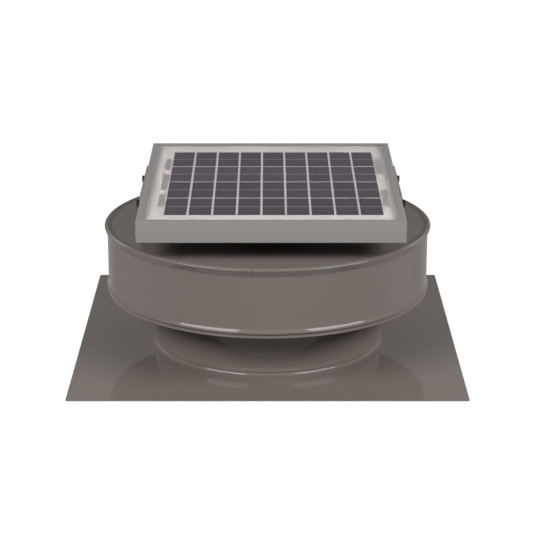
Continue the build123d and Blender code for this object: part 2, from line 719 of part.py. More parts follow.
def side_bolt():
    """Hex bolt along X: its head stands on the washer, and its shank ends past the nut."""
    shank_end = RAIL_FACE - RAIL_WALL - NUT - BOLT_PAST_NUT
    head_x = WASHER_X + WASHER
    shank = extrude(Circle(BOLT_RADIUS), head_x - shank_end)
    head = Pos(0, 0, head_x - shank_end) * hexagon(BOLT_FLATS, BOLT_HEAD)
    return Pos(shank_end, 0, 0) * Rot(Y=90) * (shank + head)


def side_washer():
    """Flat washer between a bolt's head and the bracket."""
    return Pos(WASHER_X, 0, 0) * Rot(Y=90) * pipe(WASHER_RADIUS, BOLT_RADIUS + HOLE_GAP, 0, WASHER)


def side_nut():
    """Nut against the inside of the rail."""
    nut = hexagon(BOLT_FLATS, NUT) - extrude(Circle(BOLT_RADIUS + HOLE_GAP), NUT)
    return Pos(RAIL_FACE - RAIL_WALL - NUT, 0, 0) * Rot(Y=90) * nut


# Housing
save("base_flange", base_flange())
save("stack", stack())
save("hood_band", hood_band())
save("hood_top", hood_top())
save("hood_rim", hood_rim())
for number, leg_place in enumerate(leg_places(), start=1):
    save(f"hood_leg_{number}", hood_leg(leg_place))
leg_grip = LEG_SHEET + SEAT_GAP + SHEET + SEAT_GAP
save("leg_rivets", *[place * rivet(leg_grip) for place in leg_rivet_places()])
save("exhaust_screen", exhaust_screen())
save("hood_grommet", hood_grommet())
right_bracket = panel_bracket()
save("panel_bracket_right", right_bracket)
save("panel_bracket_left", mirror(right_bracket, Plane.YZ.offset(PANEL_SHIFT)))
save("bracket_rivets", *[place * rivet(BRACKET_SHEET + SHEET) for place in bracket_rivet_places()])

# Motor and fan
save("motor_strap", motor_strap())
save("motor_screws", *motor_screws())
save("motor_can", motor_can())
save("motor_lid", motor_lid())
save("motor_bearings", *motor_bearings())
save("motor_magnets", *motor_magnets())
save("motor_armature", motor_armature())
save("motor_shaft", motor_shaft())
save("fan_rotor", fan_rotor())
save("hub_washer", hub_washer())
save("hub_nut", hub_nut())

# Panel
front_rail = frame_rail(PANEL_WIDTH, PANEL_DEPTH)
right_rail = side_rail()
save("frame_rail_front", PANEL * front_rail)
save("frame_rail_rear", PANEL * mirror(front_rail, Plane.XZ))
save("frame_rail_right", PANEL * right_rail)
save("frame_rail_left", PANEL * mirror(right_rail, Plane.YZ))
save("corner_keys", *corner_keys())
save("cover_glass", laminate_sheet(GLASS_Z, GLASS))
save("solar_cells", *solar_cells())
save("bus_ribbons", *bus_ribbons())
save("backsheet", laminate_sheet(BACKSHEET_Z, BACKSHEET))
save("junction_box", junction_box())
save("junction_lid", junction_lid())
save("cable_gland", cable_gland())
save("pivot_bolts", *both_sides(side_bolt(), PIVOT_Y))
save("lock_bolts", *both_sides(side_bolt(), LOCK_Y))
save("bolt_washers", *[piece for y in (PIVOT_Y, LOCK_Y) for piece in both_sides(side_washer(), y)])
save("bolt_nuts", *[piece for y in (PIVOT_Y, LOCK_Y) for piece in both_sides(side_nut(), y)])
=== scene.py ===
# %% [markdown]
# # A solar roof fan, dressed for a studio picture
# The fan is a square roof flange with a round stack, a flat round hood over it, and a small framed
# solar panel above the hood. The construction comes in as a fixed frame of solids in metres. This lesson
# gives every surface its finish, and makes again, as fine smooth surfaces, the turned and swept pieces
# that a glossy coat would show up as facets.

# %% Load the frame
import json
import math

import bmesh
import bpy
import numpy as np
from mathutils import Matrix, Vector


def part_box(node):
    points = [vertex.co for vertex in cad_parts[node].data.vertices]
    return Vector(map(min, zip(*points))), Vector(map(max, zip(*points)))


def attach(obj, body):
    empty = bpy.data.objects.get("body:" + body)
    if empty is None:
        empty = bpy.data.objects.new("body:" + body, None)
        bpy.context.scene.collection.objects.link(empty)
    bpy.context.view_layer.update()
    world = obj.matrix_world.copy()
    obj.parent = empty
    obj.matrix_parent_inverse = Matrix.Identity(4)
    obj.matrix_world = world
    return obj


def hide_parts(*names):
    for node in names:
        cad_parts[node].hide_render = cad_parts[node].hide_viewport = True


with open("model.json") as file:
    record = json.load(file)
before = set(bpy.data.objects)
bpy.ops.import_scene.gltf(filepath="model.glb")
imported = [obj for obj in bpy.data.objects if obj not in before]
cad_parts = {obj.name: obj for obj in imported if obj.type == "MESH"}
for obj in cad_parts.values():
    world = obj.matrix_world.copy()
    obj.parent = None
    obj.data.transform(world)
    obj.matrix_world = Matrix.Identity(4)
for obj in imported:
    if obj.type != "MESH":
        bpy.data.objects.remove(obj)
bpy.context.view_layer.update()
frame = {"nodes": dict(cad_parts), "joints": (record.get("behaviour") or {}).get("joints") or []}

MM = 0.001

# %% [markdown]
# ## Small helpers
# A surface here is a grid of points worked out with numpy: rows run along a profile, columns go round or
# along. One function joins the neighbours of a grid into faces, and one puts points and faces into a mesh
# that rides on a body. Lengths are in millimetres until the mesh is made, as a maker would write them.


# %% Grids
def node_box(name):
    """Lowest and highest corner of one of the frame's solids, in millimetres."""
    return [np.array(corner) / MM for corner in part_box(name)]


def grid_faces(rows, columns, wrap_rows=False, wrap_columns=False):
    """Quads between the neighbours of a grid numbered row by row; a wrap joins the last to the first."""
    row = np.arange(rows if wrap_rows else rows - 1)[:, None]
    column = np.arange(columns if wrap_columns else columns - 1)[None, :]
    below, beside = (row + 1) % rows, (column + 1) % columns
    corners = [row * columns + column, row * columns + beside,
               below * columns + beside, below * columns + column]
    return np.stack(np.broadcast_arrays(*corners), axis=-1).reshape(-1, 4)


# %% Meshes
SAME_POINT = 1e-7  # metres


def tidy(mesh):
    """Merges points that coincide, as at a pole, and turns the faces of each closed shell outwards."""
    shape = bmesh.new()
    shape.from_mesh(mesh)
    bmesh.ops.remove_doubles(shape, verts=shape.verts, dist=SAME_POINT)
    bmesh.ops.recalc_face_normals(shape, faces=shape.faces)
    shape.to_mesh(mesh)
    shape.free()


def make_piece(name, shapes, body, finish, stands_for, sharp_deg=38):
    """Mesh object from shapes, each (points in mm, face groups...); edges over sharp_deg stay crisp."""
    points = np.concatenate([shape[0] for shape in shapes]) * MM
    starts = np.cumsum([0] + [len(shape[0]) for shape in shapes])
    groups = [np.asarray(group) + start for shape, start in zip(shapes, starts) for group in shape[1:]]
    mesh = bpy.data.meshes.new(name)
    mesh.from_pydata(points.tolist(), [], [face for group in groups for face in group.tolist()])
    tidy(mesh)
    return show(name, mesh, body, finish, stands_for, sharp_deg)


def show(name, mesh, body, finish, stands_for, sharp_deg):
    """Puts a mesh into the scene as a piece that stands for some of the frame's solids."""
    mesh.polygons.foreach_set("use_smooth", np.ones(len(mesh.polygons), dtype=bool))
    mesh.set_sharp_from_angle(angle=math.radians(sharp_deg))
    mesh.materials.clear()
    mesh.materials.append(finish)
    piece = bpy.data.objects.new(name, mesh)
    bpy.context.scene.collection.objects.link(piece)
    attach(piece, body)
    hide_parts(*stands_for)
    print(name, len(mesh.polygons), "faces, for", ", ".join(stands_for))
    return piece


# %% Colours and shader nodes
def linear(hex_colour):
    """sRGB hex value as linear red, green, blue and alpha."""
    srgb = np.array([int(hex_colour[at:at + 2], 16) for at in (1, 3, 5)]) / 255
    values = np.where(srgb <= 0.04045, srgb / 12.92, ((srgb + 0.055) / 1.055) ** 2.4)
    return (*values.tolist(), 1.0)


def node(tree, kind, inputs=None, **settings):
    """Adds one shader node: settings are its properties, inputs give each socket a value or a link."""
    made = tree.nodes.new(kind)
    for name, value in settings.items():
        setattr(made, name, value)
    for key, value in (inputs or {}).items():
        if isinstance(value, bpy.types.NodeSocket):
            tree.links.new(value, made.inputs[key])
        else:
            made.inputs[key].default_value = value
    return made


def empty_material(name):
    """A material with no nodes yet, and its tree."""
    material = bpy.data.materials.new(name)
    material.use_nodes = True
    material.node_tree.nodes.clear()
    return material, material.node_tree


# %% [markdown]
# ## Finishes with a grain
# Most finishes differ from a flat colour in three small ways: the tone drifts, the gloss drifts with it,
# and the surface has a fine relief. One recipe carries these for coated, plated, moulded and rolled
# pieces. What sets them apart is the size of the grain in millimetres, its stretch along the piece, and
# the shader's own values for metal, coat and gloss.

# %% A grained finish
FACTOR, COLOUR_A, COLOUR_B, COLOUR_OUT = 0, 6, 7, 2  # sockets of a Mix node that mixes colours
GRAIN_DETAIL = 4.0


def grained(name, light, dark, grain_mm, rough, relief_mm, stretch=(1, 1, 1), shader_values=None):
    """Noise of one real grain size that drives colour, roughness from low to high, and a relief in mm."""
    material, tree = empty_material(name)
    where = node(tree, "ShaderNodeTexCoord")
    place = node(tree, "ShaderNodeMapping", {"Vector": where.outputs["Object"], "Scale": stretch})
    grain = node(tree, "ShaderNodeTexNoise", {"Vector": place.outputs[0], "Scale": 1 / (grain_mm * MM),
                                              "Detail": GRAIN_DETAIL})
    height = grain.outputs["Fac"]
    tone = node(tree, "ShaderNodeMix", {FACTOR: height, COLOUR_A: linear(dark), COLOUR_B: linear(light)},
                data_type="RGBA")
    gloss = node(tree, "ShaderNodeMapRange", {"Value": height, "To Min": rough[0], "To Max": rough[1]})
    relief = node(tree, "ShaderNodeBump", {"Height": height, "Distance": relief_mm * MM, "Strength": 1.0})
    shader = node(tree, "ShaderNodeBsdfPrincipled", {
        "Base Color": tone.outputs[COLOUR_OUT], "Roughness": gloss.outputs[0], "Normal": relief.outputs[0],
        **(shader_values or {})})
    node(tree, "ShaderNodeOutputMaterial", {"Surface": shader.outputs[0]})
    return material


METAL = {"Metallic": 1.0}
SATIN = {"Metallic": 0.15}  # anodised and dulled metal, which looks more like a grey skin than a mirror

# %% Paint
# Glossy powder coat on aluminium sheet: an even taupe grey under a clear skin with faint orange peel.
# Seen along the sheet, the peel breaks its mirror, sooner on rolled pieces than on flat ones.
COAT_FULL, COAT_LEFT = 0.9, 0.06


def powder_coat(name, fade_from, fade_to):
    """Paint whose clear skin loses its weight as the surface turns away, between two values of facing."""
    material = grained(name, "#776F69", "#736B65", 4.0, (0.36, 0.42), 0.006, shader_values={
        "Specular IOR Level": 0.03, "Coat Weight": COAT_FULL, "Coat IOR": 1.33, "Coat Roughness": 0.05})
    tree = material.node_tree
    away = node(tree, "ShaderNodeLayerWeight", {"Blend": 0.5})
    fading = node(tree, "ShaderNodeMapRange", {"Value": away.outputs["Facing"], "From Min": fade_from,
                                               "From Max": fade_to, "To Min": COAT_FULL, "To Max": COAT_LEFT})
    tree.links.new(fading.outputs[0], tree.nodes["Principled BSDF"].inputs["Coat Weight"])
    return material


flat_coat = powder_coat("powder_coat_on_flat_sheet", 0.64, 0.78)
rolled_coat = powder_coat("powder_coat_on_rolled_sheet", 0.40, 0.68)
print("paint:", flat_coat.name, "and", rolled_coat.name)

# %% Plated, rolled and ground metal
# Zinc-plated steel: bluish grey with soft cloudy patches left by the plating bath.
zinc_plate = grained("zinc_plated_steel", "#A9ABAC", "#83868A", 9.0, (0.28, 0.42), 0.01, shader_values=METAL)
# Bare aluminium of the rivets: light and satin.
rivet_metal = grained("bare_aluminium", "#B9B8B5", "#9C9B98", 1.5, (0.30, 0.45), 0.01, shader_values=METAL)
# Mill-finish aluminium sheet: long rolling lines along the plate.
mill_sheet = grained("mill_finish_aluminium", "#8F8C89", "#837F7C", 1.2, (0.36, 0.50), 0.01,
                     (1, 0.05, 1), SATIN)
# Galvanised wire of the screen: dull grey.
wire_zinc = grained("galvanised_wire", "#8F8F8C", "#6B6B69", 2.0, (0.40, 0.55), 0.01, shader_values=METAL)
# Black steel of the bolts: a thin oxide with a low sheen.
black_steel = grained("black_oxide_steel", "#1C1B1B", "#121111", 0.8, (0.32, 0.50), 0.01)
# Ground steel of shaft and bearings: fine lines round the axis.
ground_steel = grained("ground_steel", "#B4B4B2", "#8C8C8B", 1.0, (0.20, 0.34), 0.004, (0.2, 0.2, 3), METAL)
# Tinned copper ribbon: soft grey metal, drawn along its length.
tinned_ribbon = grained("tinned_copper_ribbon", "#A9A29F", "#9A9390", 1.0, (0.34, 0.46), 0.006,
                        (1, 0.1, 1), SATIN)
# Anodised extrusion of the panel's frame: even satin grey, with die lines along each rail.
anodised_across = grained("anodised_extrusion_across", "#918E8B", "#888582", 0.7, (0.38, 0.46), 0.006,
                          (0.02, 1, 1), SATIN)
anodised_along = grained("anodised_extrusion_along", "#918E8B", "#888582", 0.7, (0.38, 0.46), 0.006,
                         (1, 0.02, 1), SATIN)
# Plain aluminium of the corner keys, sawn from bar.
key_alloy = grained("sawn_aluminium", "#A3A19E", "#8B8986", 0.8, (0.40, 0.55), 0.01, shader_values=METAL)
print("materials so far:", len(bpy.data.materials))

# %% Enamel, ferrite, plastics and film
# Black enamel of the motor: smooth, with a gentle ripple.
motor_enamel = grained("black_enamel", "#232324", "#1A1A1B", 6.0, (0.28, 0.38), 0.01, shader_values={
    "Coat Weight": 0.3, "Coat Roughness": 0.1})
# Sintered ferrite of the magnets: charcoal grey and dry.
ferrite = grained("sintered_ferrite", "#3E3E40", "#2C2C2E", 0.9, (0.60, 0.80), 0.02)
# Glass-filled plastic of the fan: black, with the dry bloom of fibres near the surface.
fan_plastic = grained("glass_filled_plastic", "#2B2B2C", "#1D1D1E", 2.5, (0.42, 0.60), 0.015)
# Moulded plastic of the junction box: black, with a spark-eroded texture.
box_plastic = grained("textured_black_plastic", "#232323", "#171717", 0.7, (0.50, 0.65), 0.03)
# Soft rubber of the grommet: dead matt black.
soft_rubber = grained("black_rubber", "#1E1D1C", "#141313", 1.2, (0.70, 0.85), 0.02)
# White film on the back of the panel: pale and satin, with a faint emboss.
backsheet_film = grained("white_backsheet_film", "#A9A4A2", "#A19B9A", 3.0, (0.50, 0.62), 0.01)
print("materials:", len(bpy.data.materials))

# %% [markdown]
# ## Silicon cells
# The panel has rows of dark cells, each a strip of a larger wafer. A thin silver line, the busbar, runs
# along the middle of each row, and hair-thin fingers cross it. All of it is a pattern in millimetres on
# the panel's own axes: a length divided by the pitch gives the cell's number and the place inside it.

# %% The cells' finish
CELL_PITCH_X, CELL_PITCH_Y = 28.0 * MM, 68.6 * MM
BUSBAR_HALF = 0.8 * MM
FINGER_PITCH = 2.0 * MM
FINGER_HALF = 0.16 * MM  # about three times the real width, so that the fingers show
FINGER_SILVER, BUSBAR_SILVER = 0.15, 0.55
cell_grid_x, cell_grid_y, _ = (node_box("solar_cells")[0] + node_box("solar_cells")[1]) / 2 * MM


def silicon():
    """Dark purplish silicon, a slightly different tone on each cell, with silver busbars and fingers."""
    material, tree = empty_material("silicon_cells")
    where = node(tree, "ShaderNodeTexCoord")
    axes = node(tree, "ShaderNodeSeparateXYZ", {"Vector": where.outputs["Object"]})
    column = node(tree, "ShaderNodeMath", {0: axes.outputs["X"], 1: 1 / CELL_PITCH_X,
                                           2: 0.5 - cell_grid_x / CELL_PITCH_X}, operation="MULTIPLY_ADD")
    row = node(tree, "ShaderNodeMath", {0: axes.outputs["Y"], 1: 1 / CELL_PITCH_Y,
                                        2: -cell_grid_y / CELL_PITCH_Y}, operation="MULTIPLY_ADD")
    in_row = node(tree, "ShaderNodeMath", {0: row.outputs[0]}, operation="FRACT")
    busbar = node(tree, "ShaderNodeMath", {0: in_row.outputs[0], 1: 0.5, 2: BUSBAR_HALF / CELL_PITCH_Y},
                  operation="COMPARE")
    hair = node(tree, "ShaderNodeMath", {0: axes.outputs["X"], 1: 1 / FINGER_PITCH}, operation="MULTIPLY")
    in_hair = node(tree, "ShaderNodeMath", {0: hair.outputs[0]}, operation="FRACT")
    finger = node(tree, "ShaderNodeMath", {0: in_hair.outputs[0], 1: 0.5, 2: FINGER_HALF / FINGER_PITCH},
                  operation="COMPARE")
    column_number = node(tree, "ShaderNodeMath", {0: column.outputs[0]}, operation="FLOOR")
    row_number = node(tree, "ShaderNodeMath", {0: row.outputs[0]}, operation="FLOOR")
    cell = node(tree, "ShaderNodeCombineXYZ", {"X": column_number.outputs[0], "Y": row_number.outputs[0]})
    shade = node(tree, "ShaderNodeTexWhiteNoise", {"Vector": cell.outputs[0]}, noise_dimensions="2D")
    dark = node(tree, "ShaderNodeMix", {FACTOR: shade.outputs["Value"], COLOUR_A: linear("#322736"),
                                        COLOUR_B: linear("#3B2F3F")}, data_type="RGBA")
    faint = node(tree, "ShaderNodeMath", {0: finger.outputs[0], 1: FINGER_SILVER}, operation="MULTIPLY")
    clear = node(tree, "ShaderNodeMath", {0: busbar.outputs[0], 1: BUSBAR_SILVER}, operation="MULTIPLY")
    silver = node(tree, "ShaderNodeMath", {0: faint.outputs[0], 1: clear.outputs[0]}, operation="MAXIMUM")
    tone = node(tree, "ShaderNodeMix", {FACTOR: silver.outputs[0], COLOUR_A: dark.outputs[COLOUR_OUT],
                                        COLOUR_B: linear("#A8A2A3")}, data_type="RGBA")
    shader = node(tree, "ShaderNodeBsdfPrincipled", {
        "Base Color": tone.outputs[COLOUR_OUT], "Roughness": 0.45, "Specular IOR Level": 0.2})
    node(tree, "ShaderNodeOutputMaterial", {"Surface": shader.outputs[0]})
    return material


silicon_cells = silicon()
print("cells centred on", round(cell_grid_x, 4), round(cell_grid_y, 4))

# %% [markdown]
# ## Cover glass
# Solar glass is rolled with a fine texture and has a porous skin that reflects less than window glass, so
# the index here is that of the skin, about 1.25. The glass is a real slab, and the cells appear lifted in
# it. A film bonds its underside to the cells, so only the upper face reflects, and light leaves the slab
# below without a second mirror. Rays on their way to a lamp pass straight through, because otherwise the
# slab would throw a full shadow on the cells.

# %% The glass
GLASS_GRAIN_MM, GLASS_RELIEF_MM = 1.8, 0.003
SKIN_INDEX = 1.25


def solar_glass():
    """Clear slab with a rolled surface and a weak reflection, open to the light of the lamps."""
    material, tree = empty_material("rolled_solar_glass")
    where = node(tree, "ShaderNodeTexCoord")
    rolled = node(tree, "ShaderNodeTexNoise", {"Vector": where.outputs["Object"],
                                               "Scale": 1 / (GLASS_GRAIN_MM * MM)})
    relief = node(tree, "ShaderNodeBump", {"Height": rolled.outputs["Fac"], "Distance": GLASS_RELIEF_MM * MM,
                                           "Strength": 1.0})
    slab = node(tree, "ShaderNodeBsdfPrincipled", {
        "Base Color": linear("#FDFCFC"), "Roughness": 0.05, "IOR": SKIN_INDEX, "Specular IOR Level": 0.02,
        "Transmission Weight": 1.0, "Normal": relief.outputs[0]})
    straight = node(tree, "ShaderNodeBsdfTransparent")
    path = node(tree, "ShaderNodeLightPath")
    face = node(tree, "ShaderNodeNewGeometry")
    passes = node(tree, "ShaderNodeMath", {0: path.outputs["Is Shadow Ray"], 1: face.outputs["Backfacing"]},
                  operation="MAXIMUM")
    shown = node(tree, "ShaderNodeMixShader", {0: passes.outputs[0], 1: slab.outputs[0],
                                               2: straight.outputs[0]})
    node(tree, "ShaderNodeOutputMaterial", {"Surface": shown.outputs[0]})
    return material


rolled_glass = solar_glass()
print("glass:", rolled_glass.name)

# %% [markdown]
# ## Dress the solids that stay
# Small and flat pieces are right as solids. Each gets its finish in its own material slots, and nothing
# else about it changes.

# %% Finishes on the solids
finish_of = {
    "leg_rivets": rivet_metal, "bracket_rivets": rivet_metal, "hood_grommet": soft_rubber,
    "motor_screws": zinc_plate, "motor_can": motor_enamel, "motor_lid": motor_enamel,
    "motor_bearings": ground_steel, "motor_shaft": ground_steel, "motor_armature": ground_steel,
    "motor_magnets": ferrite, "hub_washer": zinc_plate, "hub_nut": zinc_plate, "bolt_nuts": zinc_plate,
    "corner_keys": key_alloy, "cover_glass": rolled_glass, "solar_cells": silicon_cells,
    "bus_ribbons": tinned_ribbon, "backsheet": backsheet_film, "cable_gland": box_plastic,
    "bolt_washers": black_steel,
}
for solid_name, finish in finish_of.items():
    for slot in frame["nodes"][solid_name].material_slots:
        slot.material = finish
print("dressed", len(finish_of), "solids")

# %% [markdown]
# ## Softened edges on folded and cut sheet
# No real edge is perfectly sharp, and the eye finds the thin line of light that a broken edge catches.
# Sheet pieces and boxes are copied here, their triangles are merged into flat faces, and a bevel a few
# tenths of a millimetre wide rounds every edge.

# %% Softened copies
EDGE_DEG, FLAT_DEG = 30, 1
SAME_CORNER = 1e-6  # metres
SHEET_EDGE, BOX_EDGE, BOX_LID_EDGE = 0.3, 0.4, 0.5


def softened(name, solid, body, finish, width_mm):
    """Copy of a solid with merged faces, and a bevel of the given width on its edges over EDGE_DEG."""
    mesh = frame["nodes"][solid].data.copy()
    mesh.name = name
    shape = bmesh.new()
    shape.from_mesh(mesh)
    bmesh.ops.remove_doubles(shape, verts=shape.verts, dist=SAME_CORNER)
    bmesh.ops.dissolve_limit(shape, angle_limit=math.radians(FLAT_DEG), verts=shape.verts, edges=shape.edges)
    shape.to_mesh(mesh)
    shape.free()
    piece = show(name, mesh, body, finish, [solid], EDGE_DEG)
    bevel = piece.modifiers.new("broken_edge", "BEVEL")
    bevel.width = width_mm * MM
    bevel.segments = 2
    bevel.limit_method = "ANGLE"
    bevel.angle_limit = math.radians(EDGE_DEG)
    bevel.harden_normals = True
    return piece


softened("roof_flange", "base_flange", "housing", flat_coat, SHEET_EDGE)
for number in range(1, 5):
    softened(f"folded_leg_{number}", f"hood_leg_{number}", "housing", zinc_plate, SHEET_EDGE)
for side in ("left", "right"):
    softened(f"side_plate_{side}", f"panel_bracket_{side}", "housing", mill_sheet,
             SHEET_EDGE)
softened("motor_channel", "motor_strap", "housing", zinc_plate, SHEET_EDGE)
softened("moulded_box", "junction_box", "panel", box_plastic, BOX_EDGE)
softened("moulded_box_lid", "junction_lid", "panel", box_plastic, BOX_LID_EDGE)

# %% [markdown]
# ## Turned sheet: stack, hood band, lid and rim
# These are rings of thin sheet, turned about the stack's axis. The section of each is a line of points
# (radius, height), and going round the axis carries it into a shell. Beads and rolled edges catch the
# lamps, so they have many points, while plain walls need only their ends. A bead is a chain of bends: how
# far a stretch of it looks up decides whether it mirrors a lamp to the eye, so the bends are given by angle.

# %% Turning about the stack's axis
SHEET = 1.2
TURN_STEPS = 512
stack_low, stack_high = node_box("stack")
axis_y = (stack_low[1] + stack_high[1]) / 2
print("the stack's axis is at y =", round(axis_y, 2), "mm")


def arc(middle, radius, start_deg, stop_deg, steps):
    """Points of a circle: middle plus radius times (cos a, sin a), from one angle to another."""
    angle = np.radians(np.linspace(start_deg, stop_deg, steps))
    return np.array(middle) + radius * np.stack([np.cos(angle), np.sin(angle)], axis=1)


def around(section, angle):
    """Grid of a section (radius, height) turned to each angle: x = r cos a, y = axis + r sin a."""
    radius, height = section[:, 0, None], section[:, 1, None]
    grid = np.broadcast_arrays(radius * np.cos(angle), axis_y + radius * np.sin(angle), height)
    return np.stack(grid, axis=-1).reshape(-1, 3)


def turned(section, closed=True, steps=TURN_STEPS):
    """A section carried once round the axis; a section that isn't closed starts and ends on the axis."""
    angle = np.arange(steps) * 2 * math.pi / steps
    return around(section, angle), grid_faces(len(section), steps, closed, True)


# %% Stack wall, with a straight collar on the flange, a groove above it and a flared foot
BEAD_FLANK = (22.5, 33.0)  # between these angles a bead's flank mirrors the front lamps
STACK_BEAD_OUT = 2.4
STACK_BEAD_Z = 4.2
STACK_FLANK = [(1.0, BEAD_FLANK[0]), (8.4, BEAD_FLANK[1]), (2.0, 39)]
STACK_GROOVE = [(0.9, 75), (-0.9, -50)]
STACK_FLARE = [(0.8, 11), (-51.4, 0)]
STACK_BENDS = STACK_FLANK + STACK_GROOVE + STACK_FLARE
FOOT_HEIGHT = 10.0
HEM = 3.2


def bent(start, angle_deg, bends, steps=8):
    """Arcs that pass smoothly into one another: the point is middle + radius (cos a, sin a), where a is how
    far the surface looks up. A bend gives its radius, negative in a hollow, and the angle it ends at."""
    points = [np.array([start], dtype=float)]
    for radius, stop_deg in bends:
        angle = np.radians(np.linspace(angle_deg, stop_deg, steps))
        way = np.stack([np.cos(angle), np.sin(angle)], axis=1)
        points.append((points[-1][-1] + radius * (way - way[0]))[1:])
        angle_deg = stop_deg
    return np.concatenate(points)


def bead_top(radius, out, middle, bends):
    """Pressed bead from its crest upwards: the bends, and a straight run that leads to the plain wall."""
    upper = bent((radius + out, middle), 0, bends)
    return np.concatenate([upper, [(radius, upper[-1, 1] + FOOT_HEIGHT)]])


stack_radius = (stack_high[0] - stack_low[0]) / 2 - STACK_BEAD_OUT
stack_top, stack_foot = stack_high[2], stack_low[2]
stack_inner = stack_radius - SHEET
stack_section = np.concatenate([
    [(stack_inner + STACK_BEAD_OUT, stack_foot), (stack_radius + STACK_BEAD_OUT, stack_foot)],
    bead_top(stack_radius, STACK_BEAD_OUT, STACK_BEAD_Z, STACK_BENDS),
    arc((stack_inner, stack_top - SHEET), SHEET, 0, 180, 11),
    [(stack_inner - SHEET, stack_top - HEM), (stack_inner, stack_top - HEM)],
    bead_top(stack_inner, STACK_BEAD_OUT, STACK_BEAD_Z, STACK_BENDS)[::-1],
])
make_piece("stack_wall", [turned(stack_section)], "housing", rolled_coat, ["stack"])

# %% Hood band, with its bead and the edge rolled round a wire below it
BEAD_HALF = 3.0
HOOD_BEAD_OUT = 1.9
HOOD_BEAD_Z = 76.5
HOOD_BENDS = [(1.0, BEAD_FLANK[0]), (16.0, BEAD_FLANK[1]), (-2.86, 0)]
EDGE_ROLL, EDGE_INSET, EDGE_NECK = 0.9, 0.6, 0.4
band_low, band_high = node_box("hood_band")


def bead(radius, out, middle, bends):
    """Whole bead, upwards: a round lower half on a circle of radius (h^2 + out^2) / (2 out), then its top."""
    below = (BEAD_HALF**2 + out**2) / (2 * out)
    reach = math.degrees(math.asin(BEAD_HALF / below))
    lower = arc((radius + out - below, middle), below, -reach, 0, 10)[:-1]
    return np.concatenate([lower, bead_top(radius, out, middle, bends)])


band_radius = (band_high[0] - band_low[0]) / 2 - HOOD_BEAD_OUT
band_inner = band_radius - SHEET
band_section = np.concatenate([
    [(band_inner, band_high[2])],
    bead(band_inner, HOOD_BEAD_OUT, HOOD_BEAD_Z, HOOD_BENDS)[::-1],
    [(band_inner, band_low[2] + HEM), (band_inner - SHEET, band_low[2] + HEM)],
    arc((band_radius - EDGE_INSET, band_low[2] + EDGE_ROLL), EDGE_ROLL, 215, 400, 17),
    [(band_radius, band_low[2] + HEM - EDGE_NECK)],
    bead(band_radius, HOOD_BEAD_OUT, HOOD_BEAD_Z, HOOD_BENDS),
    [(band_radius, band_high[2])],
])
make_piece("hood_skirt", [turned(band_section)], "housing", rolled_coat, ["hood_band"])

# %% Lid, a shallow cone inside a flat margin
CROWN_RADIUS = 118.0
CROWN_BLEND = 14.0
CROWN_STEPS = 12
lid_low, lid_high = node_box("hood_top")
lid_radius = (lid_high[0] - lid_low[0]) / 2
crown_rise = lid_high[2] - lid_low[2] - SHEET
lid_flat = lid_low[2] + SHEET


def rounded(corners, steps=6):
    """Closed line through corners (a, b, reach): each corner c gives way to the parabola
    (1-t)^2 p + 2t(1-t) c + t^2 q, from p to q, which lie at its reach along its two sides."""
    corners = np.array(corners, dtype=float)
    corner, reach = corners[:, None, :2], corners[:, None, 2:]
    towards_last, towards_next = (np.roll(corner, shift, axis=0) - corner for shift in (1, -1))
    p = corner + reach * towards_last / np.linalg.norm(towards_last, axis=-1, keepdims=True)
    q = corner + reach * towards_next / np.linalg.norm(towards_next, axis=-1, keepdims=True)
    t = np.linspace(0, 1, steps)[None, :, None]
    return ((1 - t) ** 2 * p + 2 * t * (1 - t) * corner + t**2 * q).reshape(-1, 2)


def crown_line(flat):
    """From the middle out to the flat margin: straight, with a soft foot of twice the blend's length."""
    corners = [(0, flat + crown_rise, 0), (CROWN_RADIUS, flat, CROWN_BLEND), (lid_radius, flat, 0)]
    return rounded(corners, CROWN_STEPS)[CROWN_STEPS - 1:2 * CROWN_STEPS]


lid_section = np.concatenate([
    crown_line(lid_flat),
    [(lid_radius, lid_flat), (lid_radius, lid_low[2])],
    crown_line(lid_low[2])[::-1],
])
make_piece("hood_lid", [turned(lid_section, closed=False)], "housing", flat_coat,
           ["hood_top"])

# %% Rim, a rolled ring whose two ends meet near the front
RIM_LIP = 8.0
RIM_BENDS = [(5.5, 55), (2.2, 15), (0.7, -24)]
RIM_HEM = 0.3
RIM_SEAT, RIM_EDGE = 0.1, 0.15
RIM_JOINT = 0.6
RIM_JOINT_DEG = -90 - 5.0
rim_low, rim_high = node_box("hood_rim")
rim_radius = (rim_high[1] - rim_low[1]) / 2
rim_inner = band_radius + RIM_SEAT
rim_brow = bent((0, rim_high[2]), 90, RIM_BENDS)
rim_brow[:, 0] += rim_radius - rim_brow[:, 0].max()
rim_section = np.concatenate([
    [(rim_inner, rim_high[2] - SHEET), (rim_radius - RIM_LIP, rim_high[2] - SHEET),
     (rim_radius - RIM_LIP, rim_high[2] - SHEET + RIM_EDGE)],
    rim_brow,
    arc((rim_inner + RIM_HEM, rim_low[2] + RIM_HEM), RIM_HEM, 60, -180, 11),
])
joint_half = RIM_JOINT / 2 / rim_radius
rim_turn = math.radians(RIM_JOINT_DEG) + np.linspace(joint_half, 2 * math.pi - joint_half, TURN_STEPS)
rim_end = np.arange(len(rim_section))[None] * TURN_STEPS
rim_shape = (around(rim_section, rim_turn), grid_faces(len(rim_section), TURN_STEPS, True), rim_end,
             rim_end + TURN_STEPS - 1)
make_piece("hood_ring", [rim_shape], "housing", rolled_coat, ["hood_rim"])

# %% [markdown]
# ## Wire screen
# Between the stack's top and the lid a screen of wire keeps insects out. The solid shows it as a slotted
# ring. Here it has upright wires with level rings of wire round them. A wire is a small circle carried
# along a line, and one array holds all the upright wires at once. A tube's end is one more row, drawn
# together to a point.

